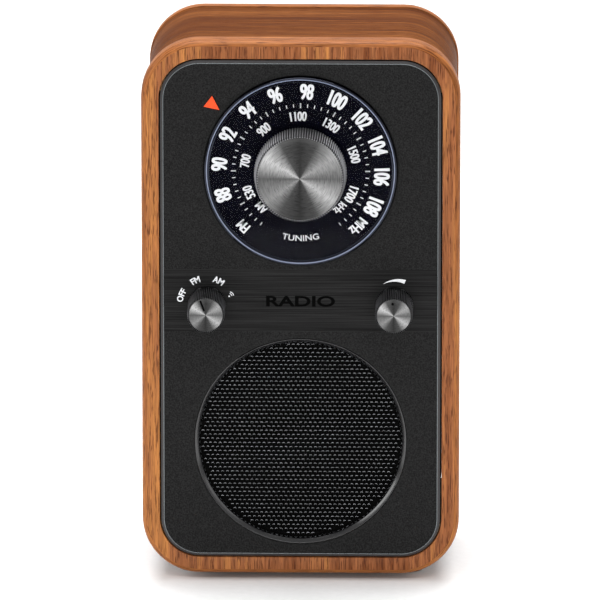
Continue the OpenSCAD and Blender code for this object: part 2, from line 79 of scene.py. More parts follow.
# The front rim's wood is this wide, the waist is sunk this far, and the round-over takes this much of
# the rim's width and depth.
WOOD_W, WAIST_SUNK, ROUND_W, ROUND_D = 5.6, 1.3, 1.6, 2.6
# The sockets at the back: their height, and each one's place across, bore radius and label.
SOCKETS_Z = 100
SOCKETS = (("aux_jack", -17, 1.8, "AUX"), ("phones_jack", 17, 1.8, "PHONES"), ("power_inlet", 0, 2.8, "DC"))


# ---------- small tools ----------

def colour(text):
    """An sRGB hex colour as linear RGBA."""
    values = [int(text[i:i + 2], 16) / 255 for i in (1, 3, 5)]
    return [v / 12.92 if v <= 0.04045 else ((v + 0.055) / 1.055) ** 2.4 for v in values] + [1.0]


def feed(tree, node, **inputs):
    """Gives inputs of a node a value or another node's output. An input's name is written with _ for a
    space, and inputs without a name are i0, i1 and so on."""
    for key, value in inputs.items():
        if key[0] == "i" and key[1:].isdigit():
            socket = node.inputs[int(key[1:])]
        else:
            socket = node.inputs[key.replace("_", " ")]
        if isinstance(value, bpy.types.NodeSocket):
            tree.links.new(value, socket)
        else:
            socket.default_value = value


def add(tree, kind, settings=None, **inputs):
    """One node with its settings and its inputs."""
    node = tree.nodes.new(kind)
    for key, value in (settings or {}).items():
        setattr(node, key, value)
    feed(tree, node, **inputs)
    return node


def maths(tree, operation, *values):
    """The result of a Math node."""
    inputs = {f"i{i}": value for i, value in enumerate(values)}
    return add(tree, "ShaderNodeMath", {"operation": operation}, **inputs).outputs[0]


def ramp(tree, value, *stops):
    """The colour a value gets from a ramp's stops: (place, colour or grey value)."""
    node = add(tree, "ShaderNodeValToRGB", Fac=value)
    band = node.color_ramp
    while len(band.elements) < len(stops):
        band.elements.new(0.5)
    for element, (place, tone) in zip(band.elements, stops):
        element.position = place
        element.color = colour(tone) if isinstance(tone, str) else [tone] * 3 + [1.0]
    return node.outputs["Color"]


def at(x, depth, z):
    """A point of the frame from x, depth behind the wood's face, and z."""
    return Vector((x * MM, depth * MM + FACE, z * MM))


# Moves a shape made at depth 0 to the frame's origin, to be copied or turned there.
AT_ORIGIN = Matrix.Translation((0, -FACE, 0))


def shaped(points, faces):
    """A mesh of points and faces. It gets its name from its piece."""
    mesh = bpy.data.meshes.new("shape")
    mesh.from_pydata(points, [], faces)
    return mesh


def finished(mesh, angle=32):
    """Merges doubles, turns the faces outwards and shades smooth up to an angle."""
    work = bmesh.new()
    work.from_mesh(mesh)
    bmesh.ops.remove_doubles(work, verts=work.verts, dist=1e-7)
    bmesh.ops.dissolve_degenerate(work, edges=work.edges, dist=1e-8)
    bmesh.ops.recalc_face_normals(work, faces=work.faces)
    work.to_mesh(mesh)
    work.free()
    mesh.shade_smooth()
    mesh.set_sharp_from_angle(angle=math.radians(angle))
    return mesh


def piece(name, mesh, body, materials, stands_for=()):
    """Makes an object of a mesh, gives it its materials and lets it ride on a CAD body."""
    mesh.name = name
    obj = bpy.data.objects.new(name, mesh)
    bpy.context.scene.collection.objects.link(obj)
    if not mesh.materials:
        for material in materials:
            mesh.materials.append(material)
    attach(obj, body)
    if stands_for:
        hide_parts(*stands_for)


def joined(meshes):
    """One mesh of several, with their material indices kept."""
    work = bmesh.new()
    for mesh in meshes:
        work.from_mesh(mesh)
    whole = bpy.data.meshes.new("joined")
    work.to_mesh(whole)
    work.free()
    return whole


def turned(profile, x, z, steps=128, bands=None, closed=True):
    """A profile of (radius, depth) turned about an axis along Y through (x, z). UV's U goes round and V
    along the profile. bands gives the material index of each side of the profile."""
    count = len(profile)
    sides = count if closed else count - 1
    points, faces, uvs, marks = [], [], [], []
    for i in range(steps):
        a = 2 * math.pi * i / steps
        points += [at(x + r * math.sin(a), d, z + r * math.cos(a)) for r, d in profile]
    length = [0.0]
    for j in range(sides):
        (r0, d0), (r1, d1) = profile[j], profile[(j + 1) % count]
        length.append(length[-1] + math.hypot(r1 - r0, d1 - d0))
    for i in range(steps):
        for j in range(sides):
            k, m = (i + 1) % steps, (j + 1) % count
            faces.append((i * count + j, k * count + j, k * count + m, i * count + m))
            u0, u1 = i / steps, (i + 1) / steps
            v0, v1 = length[j] / length[-1], length[j + 1] / length[-1]
            uvs += [(u0, v0), (u1, v0), (u1, v1), (u0, v1)]
            marks.append(bands[j] if bands else 0)
    mesh = shaped(points, faces)
    layer = mesh.uv_layers.new(name="Turned")
    layer.data.foreach_set("uv", [c for uv in uvs for c in uv])
    mesh.polygons.foreach_set("material_index", marks)
    return finished(mesh)


def moulding(profile, bands=None):
    """A closed profile of (distance from the corner centres, depth) run round the cabinet. bands gives
    the material index of each side of the profile."""
    path, corner = [], 18
    for quarter, (sx, sz) in enumerate(((1, 1), (1, -1), (-1, -1), (-1, 1))):
        for i in range(corner + 1):
            a = math.radians(90 * (quarter + i / corner))
            path.append((sx * CORE_X, MID_Z + sz * CORE_Z, math.sin(a), math.cos(a)))
    count, steps = len(profile), len(path)
    points = [at(cx + r * nx, d, cz + r * nz) for cx, cz, nx, nz in path for r, d in profile]
    faces = []
    for i in range(steps):
        for j in range(count):
            k, m = (i + 1) % steps, (j + 1) % count
            faces.append((i * count + j, k * count + j, k * count + m, i * count + m))
    mesh = shaped(points, faces)
    mesh.polygons.foreach_set("material_index", (bands or [0] * count) * steps)
    return finished(mesh, 24)


def slab(outline, front, back):
    """A flat shape given by its (x, z) outline, from one depth to another."""
    count = len(outline)
    points = [at(x, front, z) for x, z in outline] + [at(x, back, z) for x, z in outline]
    faces = [tuple(range(count)), tuple(range(2 * count - 1, count - 1, -1))]
    faces += [(i, (i + 1) % count, (i + 1) % count + count, i + count) for i in range(count)]
    return finished(shaped(points, faces))


def arc_slab(x, z, start, end, inner, outer, front, back, steps=24):
    """A curved bar round (x, z). Angles are degrees clockwise from the top; the outer radius is a number
    or a function of how far along the bar is, from 0 to 1."""
    near, far = [], []
    for i in range(steps + 1):
        t = i / steps
        a = math.radians(start + (end - start) * t)
        reach = outer(t) if callable(outer) else outer
        near.append((x + inner * math.sin(a), z + inner * math.cos(a)))
        far.append((x + reach * math.sin(a), z + reach * math.cos(a)))
    return slab(near + far[::-1], front, back)


def lettering(text, x, z, height, depth, turn=0, radius=0, narrow=1.0, bold=0.0, weight=0.0,
              upright=False, rear=False):
    """Generic lettering as thin closed meshes, centred on (x, z), or bent round it at a radius and an
    angle. height is that of its capitals, narrow squeezes its width, and weight thickens its uprights by
    that many mm, in three passes. upright text is read from below its circle's middle, rear text from
    behind."""
    curve = bpy.data.curves.new("lettering", "FONT")
    curve.body = text
    curve.align_x, curve.align_y = "CENTER", "CENTER"
    curve.extrude = 0.01
    curve.offset = bold
    curve.resolution_u = 5
    obj = bpy.data.objects.new("lettering", curve)
    bpy.context.scene.collection.objects.link(obj)
    graph = bpy.context.evaluated_depsgraph_get()
    flat = bpy.data.meshes.new_from_object(obj.evaluated_get(graph))
    bpy.data.objects.remove(obj)
    xs = [v.co.x for v in flat.vertices]
    ys = [v.co.y for v in flat.vertices]
    size = height * MM / (max(ys) - min(ys))
    # The extruded text is 0.02 thick; it is brought to 0.03 mm.
    thickness = 0.03 * MM / 0.02
    centre = Vector(((max(xs) + min(xs)) / 2, (max(ys) + min(ys)) / 2, 0))
    flat.transform(Matrix.Diagonal((size * narrow, size, thickness, 1)) @ Matrix.Translation(-centre))
    passes = []
    for shift in ((-1, 0, 1) if weight else (0,)):
        mesh = flat.copy()
        mesh.transform(Matrix.Translation((shift * weight / 2 * MM, 0, 0.004 * shift * MM)))
        if radius:
            reach = radius * MM
            for v in mesh.vertices:
                a = math.radians(turn) + (-v.co.x if upright else v.co.x) / reach
                r = reach - v.co.y if upright else reach + v.co.y
                v.co = (r * math.sin(a), -v.co.z, r * math.cos(a))
        else:
            facing = Matrix.Rotation(math.radians(90), 4, "X")
            if rear:
                facing = Matrix.Rotation(math.pi, 4, "Z") @ facing
            mesh.transform(facing)
        mesh.transform(Matrix.Translation(at(x, depth, z)))
        passes.append(mesh)
    return joined(passes)


# ---------- geometry nodes ----------

def grown(tree, values, base=None):
    """Runs a Geometry Nodes tree on a mesh (or on nothing) and returns the result as a plain mesh.
    values are given by the names of the tree's inputs. A mesh among them is a shape to copy; it is an
    object only while the tree runs."""
    obj = bpy.data.objects.new("grown", base or bpy.data.meshes.new("grown"))
    used = [obj]
    bpy.context.scene.collection.objects.link(obj)
    modifier = obj.modifiers.new("grown", "NODES")
    modifier.node_group = tree
    for item in tree.interface.items_tree:
        if item.in_out == "INPUT" and item.name in values:
            value = values[item.name]
            if isinstance(value, bpy.types.Mesh):
                value = bpy.data.objects.new("shape", value)
                bpy.context.scene.collection.objects.link(value)
                used.append(value)
            modifier[item.identifier] = value
    obj.update_tag()
    graph = bpy.context.evaluated_depsgraph_get()
    graph.update()
    mesh = bpy.data.meshes.new_from_object(obj.evaluated_get(graph), depsgraph=graph)
    for passing in used:
        bpy.data.objects.remove(passing)
    return mesh


def started(name, **inputs):
    """A Geometry Nodes tree with named inputs. Returns the tree and its input node."""
    tree = bpy.data.node_groups.new(name, "GeometryNodeTree")
    for key, kind in inputs.items():
        tree.interface.new_socket(key.replace("_", " "), in_out="INPUT", socket_type="NodeSocket" + kind)
    tree.interface.new_socket("Geometry", in_out="OUTPUT", socket_type="NodeSocketGeometry")
    return tree, tree.nodes.new("NodeGroupInput")


def ended(tree, given, geometry):
    """Ends a tree in Realize Instances and Set Material."""
    real = add(tree, "GeometryNodeRealizeInstances", Geometry=geometry)
    coated = add(tree, "GeometryNodeSetMaterial", Geometry=real.outputs[0],
                 Material=given.outputs["Material"])
    add(tree, "NodeGroupOutput", i0=coated.outputs[0])
    return tree


def about_y(tree, angle):
    """A turn about the Y axis."""
    euler = add(tree, "ShaderNodeCombineXYZ", Y=angle)
    return add(tree, "FunctionNodeEulerToRotation", i0=euler.outputs[0]).outputs[0]


def copies(tree, shape, points, **turn):
    """A copy of a shape at each point."""
    mesh = add(tree, "GeometryNodeObjectInfo", Object=shape).outputs["Geometry"]
    return add(tree, "GeometryNodeInstanceOnPoints", Points=points, Instance=mesh, **turn).outputs[0]


def ring_tree():
    """Copies of a shape turned about the Y axis: knob ribs and dial ticks."""
    tree, given = started("turned copies", Shape="Object", Count="Int", First_angle="Float",
                          Step="Float", Material="Material")
    points = add(tree, "GeometryNodePoints", Count=given.outputs["Count"]).outputs[0]
    index = add(tree, "GeometryNodeInputIndex").outputs[0]
    angle = maths(tree, "MULTIPLY_ADD", index, given.outputs["Step"], given.outputs["First angle"])
    return ended(tree, given, copies(tree, given.outputs["Shape"], points, Rotation=about_y(tree, angle)))


def perforation_tree():
    """Cells with a hole, in staggered rows, inside a circle: the loudspeaker grille."""
    tree, given = started("staggered cells", Cell="Object", Columns="Int", Rows="Int", Pitch="Float",
                          Row_pitch="Float", Radius="Float", Material="Material")
    columns, rows = given.outputs["Columns"], given.outputs["Rows"]
    pitch, row_pitch = given.outputs["Pitch"], given.outputs["Row pitch"]
    width = maths(tree, "MULTIPLY", maths(tree, "SUBTRACT", columns, 1.0), pitch)
    height = maths(tree, "MULTIPLY", maths(tree, "SUBTRACT", rows, 1.0), row_pitch)
    grid = add(tree, "GeometryNodeMeshGrid", Size_X=width, Size_Y=height, Vertices_X=columns,
               Vertices_Y=rows)
    place = add(tree, "ShaderNodeSeparateXYZ", i0=add(tree, "GeometryNodeInputPosition").outputs[0])
    # Every second row is moved sideways by half a pitch.
    row = maths(tree, "ROUND", maths(tree, "DIVIDE", place.outputs["Y"], row_pitch))
    x = maths(tree, "MULTIPLY_ADD", maths(tree, "PINGPONG", row, 1.0), maths(tree, "MULTIPLY", pitch, 0.5),
              place.outputs["X"])
    upright = add(tree, "ShaderNodeCombineXYZ", X=x, Z=place.outputs["Y"])
    moved = add(tree, "GeometryNodeSetPosition", Geometry=grid.outputs[0], Position=upright.outputs[0])
    reach = add(tree, "ShaderNodeVectorMath", {"operation": "LENGTH"},
                i0=add(tree, "GeometryNodeInputPosition").outputs[0])
    outside = add(tree, "FunctionNodeCompare", {"operation": "GREATER_THAN"}, i0=reach.outputs["Value"],
                  i1=given.outputs["Radius"])
    kept = add(tree, "GeometryNodeDeleteGeometry", Geometry=moved.outputs[0],
               Selection=outside.outputs[0])
    return ended(tree, given, copies(tree, given.outputs["Cell"], kept.outputs[0]))


def places_tree():
    """A shape at each point, each turned at random about Y with a fixed seed: screw heads."""
    tree, given = started("shape at each point", Geometry="Geometry", Shape="Object", Turn="Float",
                          Seed="Int", Material="Material")
    angle = add(tree, "FunctionNodeRandomValue", {"data_type": "FLOAT"}, i2=0.0,
                i3=given.outputs["Turn"], Seed=given.outputs["Seed"]).outputs[1]
    return ended(tree, given, copies(tree, given.outputs["Shape"], given.outputs["Geometry"],
                                     Rotation=about_y(tree, angle)))


def coil_tree():
    """A round wire wound about the Z axis: contact springs."""
    tree, given = started("wound wire", Turns="Float", First_radius="Float", Last_radius="Float",
                          Length="Float", Wire_radius="Float", Points_per_turn="Int",
                          Material="Material")
    spiral = add(tree, "GeometryNodeCurveSpiral", Resolution=given.outputs["Points per turn"],
                 Rotations=given.outputs["Turns"], Start_Radius=given.outputs["First radius"],
                 End_Radius=given.outputs["Last radius"], Height=given.outputs["Length"])
    wire = add(tree, "GeometryNodeCurvePrimitiveCircle", Resolution=8, Radius=given.outputs["Wire radius"])
    tube = add(tree, "GeometryNodeCurveToMesh", Curve=spiral.outputs[0],
               Profile_Curve=wire.outputs[0], Fill_Caps=True)
    return ended(tree, given, tube.outputs[0])


RING, CELLS, PLACES, COIL = ring_tree(), perforation_tree(), places_tree(), coil_tree()


def ring_of(mesh, count, first, step, x, z, material, depth=0.0):
    """count copies of a mesh made round the origin, then placed about the axis through (x, z)."""
    result = grown(RING, {"Shape": mesh, "Count": count, "First angle": math.radians(first),
                          "Step": math.radians(step), "Material": material})
    result.transform(Matrix.Translation(at(x, depth, z)))
    return finished(result)


# ---------- materials ----------

def principled(name, base, roughness, **settings):
    """A material with a Principled shader. Values that are the same all over go on its sockets."""
    material = bpy.data.materials.new(name)
    material.use_nodes = True
    tree = material.node_tree
    tree.nodes.clear()
    shader = add(tree, "ShaderNodeBsdfPrincipled", Base_Color=colour(base), Roughness=roughness, **settings)
    add(tree, "ShaderNodeOutputMaterial", Surface=shader.outputs[0])
    return material, tree, shader


def per_mm(x, y, z):
    """Mapping scales for a pattern whose features are this many millimetres long along each axis."""
    return (1 / (x * MM), 1 / (y * MM), 1 / (z * MM))


def object_place(tree):
    """The place on the piece itself, so that a pattern moves with its piece."""
    return add(tree, "ShaderNodeTexCoord").outputs["Object"]


def noise(tree, where, size, shift=(0, 0, 0), **settings):
    """A noise whose features are this many millimetres long along each axis."""
    spot = add(tree, "ShaderNodeMapping", Vector=where, Location=shift, Scale=per_mm(*size))
    return add(tree, "ShaderNodeTexNoise", Vector=spot.outputs[0], Scale=1.0, **settings).outputs[0]


def spread(tree, value, low, high):
    """Carries the middle range of a noise, 0.3 to 0.7, to a range from low to high."""
    return add(tree, "ShaderNodeMapRange", Value=value, From_Min=0.3, From_Max=0.7, To_Min=low,
               To_Max=high).outputs[0]


def blend(tree, mode, share, first, second):
    """Two colours mixed in one of the blend modes."""
    return add(tree, "ShaderNodeMixRGB", {"blend_type": mode}, Fac=share, Color1=first,
               Color2=second).outputs[0]


def bump(tree, height, depth):
    """The normal of a relief whose full height is this many millimetres."""
    return add(tree, "ShaderNodeBump", Height=height, Distance=depth * MM).outputs[0]


def moulded(name, base, light, roughness, grit, relief, **settings):
    """Moulded plastic or rubber. grit is the size of the mould's texture in mm and relief its depth;
    broad cloudiness comes from handling and from the flow of the plastic."""
    material, tree, shader = principled(name, base, roughness, **settings)
    where = object_place(tree)
    sand = noise(tree, where, (grit, grit, grit), Detail=3.0, Roughness=0.6)
    cloud = noise(tree, where, (18, 18, 18), Detail=4.0)
    both = maths(tree, "MULTIPLY_ADD", sand, 0.6, maths(tree, "MULTIPLY", cloud, 0.4))
    feed(tree, shader, Base_Color=ramp(tree, both, (0.3, base), (0.72, light)),
         Roughness=spread(tree, cloud, max(0.03, roughness - 0.07), roughness + 0.07),
         Normal=bump(tree, sand, relief))
    return material


def worked_metal(name, base, roughness, marks, relief=0.01, wear=0.06, **settings):
    """Metal with the fine marks of how it was made: marks gives their length in mm along each axis.
    IOR stays at its default."""
    material, tree, shader = principled(name, base, roughness, Metallic=1.0, **settings)
    where = object_place(tree)
    lines = noise(tree, where, marks, Detail=4.0)
    cloud = noise(tree, where, (9, 9, 9), Detail=3.0)
    soiled = ramp(tree, cloud, (0.3, 0.55), (0.7, 1.0))
    feed(tree, shader, Base_Color=blend(tree, "MULTIPLY", 0.25, colour(base), soiled),
         Roughness=spread(tree, lines, max(0.02, roughness - wear), roughness + wear),
         Normal=bump(tree, lines, relief))
    return material


def walnut(name, grain, dark, middle_tone, light, pores=(0.3, 0.3, 5), coat=0.15, shine=0.35):
    """Satin-lacquered walnut veneer. The eye sees warm figure in bands 1 to 3 mm wide made of fibres
    0.4 mm wide, dark pore streaks a few mm long, slow changes of tone, and a soft shine from the lacquer.
    grain is the length of the bands in mm along each axis, pores that of the streaks."""
    material, tree, shader = principled(name, middle_tone, 0.42, Coat_Weight=coat, Coat_Roughness=0.22,
                                        Specular_IOR_Level=shine)
    where = object_place(tree)
    figure = noise(tree, where, grain, Detail=5.0, Roughness=0.55, Distortion=0.35)
    tone = noise(tree, where, [g * 7 for g in grain], (3.1, 1.7, 0.4), Detail=2.0)
    mixed = maths(tree, "MULTIPLY_ADD", tone, 0.4, maths(tree, "MULTIPLY", figure, 0.6))
    tint = ramp(tree, mixed, (0.36, dark), (0.5, middle_tone), (0.63, light))
    pore = noise(tree, where, pores, (0.7, 2.2, 5.1), Detail=2.0)
    mask = ramp(tree, pore, (0.55, 0.0), (0.63, 1.0))
    fibre = noise(tree, where, [g * 0.17 for g in grain], Detail=3.0, Roughness=0.7)
    fibred = blend(tree, "MULTIPLY", 0.8, tint, ramp(tree, fibre, (0.36, 0.55), (0.6, 1.0)))
    veined = blend(tree, "MIX", maths(tree, "MULTIPLY", mask, 0.75), fibred, colour("#4A200C"))
    feed(tree, shader, Base_Color=veined, Roughness=spread(tree, figure, 0.36, 0.5),
         Normal=bump(tree, maths(tree, "SUBTRACT", figure, mask), 0.03))
    return material


# Walnut on the front rim: the figure stands upright, 2.4 mm wide and 60 mm long.
WALNUT_FACE = walnut("walnut veneer, upright", (2.4, 9, 60), "#7C431F", "#A0623A", "#BF7C42",
                     coat=0.05, shine=0.1)
# The rims' outer sides are edged with veneer whose figure runs round, like the waist's.
WALNUT_EDGE = walnut("walnut edging, wrapped", (50, 1.5, 50), "#7A461E", "#9C5E31", "#B2723C",
                     pores=(6, 0.25, 6), coat=0.04, shine=0.08)
# Walnut round the waist: the figure runs round the cabinet, so it is fine only from front to back.
WALNUT_WAIST = walnut("walnut veneer, wrapped", (50, 1.6, 50), "#482310", "#633719", "#7C4B26",
                      pores=(6, 0.25, 6), coat=0.0, shine=0.01)
PINE = walnut("sawn pine", (30, 2.4, 2.4), "#B98D5A", "#D0A56E", "#E0BC8A", pores=(20, 0.6, 0.6), coat=0.0,
              shine=0.2)


def front_panel_material():
    """Moulded ABS. A sand texture 0.4 mm across scatters the light, so the black looks soft and grey;
    the band behind the small knobs is brushed sideways, with lines 0.25 mm apart."""
    material, tree, shader = principled("black ABS, sanded and brushed", "#1A1A1B", 0.5,
                                        Specular_IOR_Level=0.1)
    where = object_place(tree)
    sand = noise(tree, where, (0.4, 0.4, 0.4), Detail=2.0)
    brushed = noise(tree, where, (30, 0.25, 0.25), Detail=3.0)
    height = add(tree, "ShaderNodeSeparateXYZ", i0=where).outputs["Z"]
    # The brushed band reaches from 81.2 to 101.3 mm above the floor.
    band = maths(tree, "MULTIPLY", maths(tree, "GREATER_THAN", height, 81.2 * MM),
                 maths(tree, "LESS_THAN", height, 101.3 * MM))
    relief = blend(tree, "MIX", band, sand, brushed)
    feed(tree, shader, Base_Color=ramp(tree, relief, (0.34, "#060606"), (0.66, "#222222")),
         Normal=bump(tree, relief, 0.06))
    return material


PANEL = front_panel_material()
# Rear panel and door: the same ABS, all of it sanded.
REAR_ABS = moulded("black ABS, sanded", "#151516", "#222224", 0.55, 0.35, 0.04)
# Dial face: black lacquer with a little navy in it, very smooth.
DIAL_FACE = moulded("navy black lacquer", "#010106", "#030310", 0.5, 2.5, 0.002,
                    Specular_IOR_Level=0.02)
# The panel's bevel comes from a polished part of the mould, so it is smoother; its paler tone is a painted
# sheen.
BEVEL_PAINTED_SHEEN = moulded("black ABS, smooth, painted sheen", "#262425", "#343233", 0.38, 0.6, 0.006, Specular_IOR_Level=0.4)
# Screen-printed ink: flat white with a faint unevenness.
WHITE_INK = moulded("white screen ink", "#E4E6EA", "#F7F8FA", 0.5, 0.4, 0.004)
DARK_INK = moulded("embossed black", "#010101", "#030303", 0.4, 0.4, 0.01, Specular_IOR_Level=0.02)
# Knob bodies: satin black ABS. Their ribs are the same ABS but finer than the gleam along each crest, so the
# gleam is toned into the ribs' colour: the pale and grey rib colours are painted highlights.
KNOB_ABS = moulded("black ABS, satin", "#030303", "#0A0A0B", 0.45, 0.5, 0.008, Specular_IOR_Level=0.2)
RIB_PAINTED_HIGHLIGHT = moulded("black ABS ribs, painted highlight", "#8C8C8F", "#B2B2B5", 0.25, 0.5, 0.004)
FINE_RIB_PAINTED_HIGHLIGHT = moulded("black ABS fine ribs, painted highlight", "#3C3C3E", "#5A5A5C", 0.3, 0.5, 0.004)
ORANGE = moulded("orange ABS", "#E83C04", "#F65410", 0.4, 0.5, 0.006, Specular_IOR_Level=0.3)
FOOT_RUBBER = moulded("black rubber", "#0C0C0C", "#1D1D1D", 0.75, 0.25, 0.05)
SOFT_RUBBER = moulded("soft rubber", "#0A0A0A", "#161616", 0.6, 0.6, 0.02)
SOCKET_ABS = moulded("black nylon", "#0A0A0B", "#141415", 0.4, 0.6, 0.01)
IVORY = moulded("ivory nylon", "#D5CDB4", "#E4DDC8", 0.45, 0.7, 0.01)
PHENOLIC = moulded("phenolic board", "#7A5230", "#96693F", 0.5, 0.5, 0.01)
CHIP = moulded("epoxy moulding", "#101011", "#1C1C1E", 0.5, 0.15, 0.02)
SLEEVE = moulded("shrunk PVC sleeve", "#101B4A", "#1B2A66", 0.3, 1.2, 0.01)
FERRITE = moulded("fired ferrite", "#1C1C1F", "#33333A", 0.55, 0.3, 0.03)
CONE_PAPER = moulded("pressed paper pulp", "#161617", "#2C2C2E", 0.85, 0.5, 0.06)
WIRE_PVC = moulded("red PVC", "#7A0D0B", "#A0211C", 0.35, 2.0, 0.01)
CELL_JACKET = moulded("printed film, copper and black", "#0E0E10", "#1A1A1D", 0.22, 3.0, 0.004)
CELL_BAND = worked_metal("printed film, copper", "#B8763A", 0.25, (8, 8, 8), 0.002)
# Metals: the marks run the way each was drawn, turned or rolled.
STEEL_ZINC = worked_metal("zinc-plated steel", "#B9BBBE", 0.34, (2, 2, 2), 0.01)
STEEL_TURNED = worked_metal("turned steel", "#C2C3C6", 0.25, (6, 0.2, 6), 0.006)
BLACK_OXIDE = worked_metal("black-oxide steel", "#1E1E20", 0.38, (1.5, 1.5, 1.5), 0.01)
# The bead is part of the moulded panel; its pale metal is a painted highlight line.
BEAD_PAINTED_HIGHLIGHT = worked_metal("bead, painted highlight", "#6F7476", 0.28, (3, 3, 3), 0.002)
TRIM_DARK = moulded("black lacquer over turned steel", "#0A0A0B", "#141416", 0.16, 2.0, 0.003, IOR=1.65)
CHROME = worked_metal("chrome-plated brass", "#E6E7EA", 0.07, (0.4, 0.4, 20), 0.001, wear=0.03)
NICKEL = worked_metal("nickel-plated spring steel", "#C9C4BC", 0.22, (3, 3, 3), 0.004)
TINNED = worked_metal("tinned shield", "#C6C8CA", 0.3, (12, 12, 2), 0.006)
# The grille's lips: bright steel put only where the glints fall, a painted glint.
LIP_PAINTED_GLINT = worked_metal("bright steel lips, painted glint", "#C6C8CC", 0.3, (2, 2, 2), 0.002)
GRILLE_PAINT = moulded("black-lacquered steel", "#010101", "#040404", 0.5, 0.8, 0.004,
                       Specular_IOR_Level=0.02)


def spun_aluminium(name, pitch):
    """Spun, dark-anodised aluminium. The tool leaves rings a fraction of a millimetre apart. The bright X
    spreading from the middle is a painted highlight, set in the base colour at fixed angles round the cap.
    The X, the rings and the grain all follow the piece's own UV map, where U goes round from the top."""
    material, tree, shader = principled(name, "#6E6F73", 0.3, Metallic=1.0, Anisotropic=0.6)
    uv = add(tree, "ShaderNodeUVMap", {"uv_map": "Turned"}).outputs[0]
    rings = add(tree, "ShaderNodeMapping", Vector=uv, Scale=(24, pitch, 1))
    lines = add(tree, "ShaderNodeTexNoise", Vector=rings.outputs[0], Scale=1.0, Detail=3.0).outputs[0]
    around = add(tree, "ShaderNodeSeparateXYZ", i0=uv).outputs["X"]
    # Painted highlight: a bright X of light set into the base colour at fixed angles round the cap.
    painted_fans = ramp(tree, around, (0.0, 0.05), (0.07, 0.09), (0.16, 0.42), (0.25, 0.16), (0.345, 0.62),
                (0.43, 0.1), (0.5, 0.045), (0.58, 0.1), (0.65, 0.36), (0.75, 0.14), (0.835, 0.68),
                (0.92, 0.1), (1.0, 0.05))
    grain = ramp(tree, lines, (0.3, 0.36), (0.7, 0.66))
    tangent = add(tree, "ShaderNodeTangent", {"direction_type": "UV_MAP", "uv_map": "Turned"})
    feed(tree, shader, Base_Color=blend(tree, "MULTIPLY", 1.0, painted_fans, grain),
         Roughness=spread(tree, lines, 0.24, 0.4), Tangent=tangent.outputs[0],
         Normal=bump(tree, lines, 0.004))
    return material


SPUN = spun_aluminium("spun aluminium, dark anodised", 90)


def acrylic(name, base, **settings):
    """Polished clear acrylic: clean and colourless, with faint waves from the polishing."""
    material, tree, shader = principled(name, base, 0.03, IOR=1.49, **settings)
    waves = noise(tree, object_place(tree), (14, 14, 14), Detail=1.0)
    feed(tree, shader, Normal=bump(tree, waves, 0.004))
    return material


def cloth_material():
    """Acoustic cloth: a plain weave of black threads 0.4 mm apart."""
    material, tree, shader = principled("black acoustic cloth", "#0A0A0A", 0.9, Specular_IOR_Level=0.1)
    threads = add(tree, "ShaderNodeMapping", Vector=object_place(tree), Scale=per_mm(0.8, 0.8, 0.8))
    across, along = (add(tree, "ShaderNodeTexWave", {"bands_direction": axis}, Vector=threads.outputs[0],
                         Scale=0.32, Distortion=0.6).outputs["Fac"] for axis in "XZ")
    weave = maths(tree, "MAXIMUM", across, along)
    feed(tree, shader, Base_Color=ramp(tree, weave, (0.2, "#010101"), (0.9, "#080808")),
         Normal=bump(tree, weave, 0.05))
    return material


def board_material():
    """Circuit board: green solder mask over copper tracks, which show as paler lines 1.2 mm apart."""
    material, tree, shader = principled("fibreglass board", "#0B4A24", 0.3, Coat_Weight=0.4,
                                        Coat_Roughness=0.15)
    cells = add(tree, "ShaderNodeMapping", Vector=object_place(tree), Scale=per_mm(4, 4, 4))
    tracks = add(tree, "ShaderNodeTexVoronoi", {"distance": "CHEBYCHEV", "feature": "F1"},
                 Vector=cells.outputs[0], Scale=1.0).outputs["Distance"]
    feed(tree, shader, Base_Color=ramp(tree, tracks, (0.42, "#0A4220"), (0.5, "#15663A")),
         Normal=bump(tree, tracks, 0.02))
    return material


def winding_material(name, axis):
    """Enamelled copper wire 0.3 mm thick, wound side by side along one axis."""
    material, tree, shader = principled(name, "#A8542A", 0.3, Metallic=1.0)
    turns = add(tree, "ShaderNodeMapping", Vector=object_place(tree), Scale=per_mm(0.3, 0.3, 0.3))
    wave = add(tree, "ShaderNodeTexWave", {"bands_direction": axis, "wave_profile": "SIN"},
               Vector=turns.outputs[0], Scale=0.3142, Distortion=0.2).outputs["Fac"]
    feed(tree, shader, Base_Color=ramp(tree, wave, (0.1, "#5A260E"), (0.8, "#C0703A")),
         Normal=bump(tree, wave, 0.05))
    return material


# The window's flat sheet only veils the print a little; its thick rounded rim is blacked behind.
SHEET = acrylic("clear acrylic sheet", "#020208", Alpha=0.05)
RIM = acrylic("acrylic rim, blacked behind", "#020206", Specular_Tint=colour("#D6E0FF"))
# A line along the rim's inner wall is pale blue-grey: a painted highlight, where a clear cut edge would
# gather light.
RIM_PAINTED_HIGHLIGHT = acrylic("acrylic rim, painted highlight line", "#7F879E")
CLOTH = cloth_material()
BOARD = board_material()
COIL_WIRE = winding_material("enamelled copper winding", "X")
VOICE_WIRE = winding_material("voice coil winding", "Y")

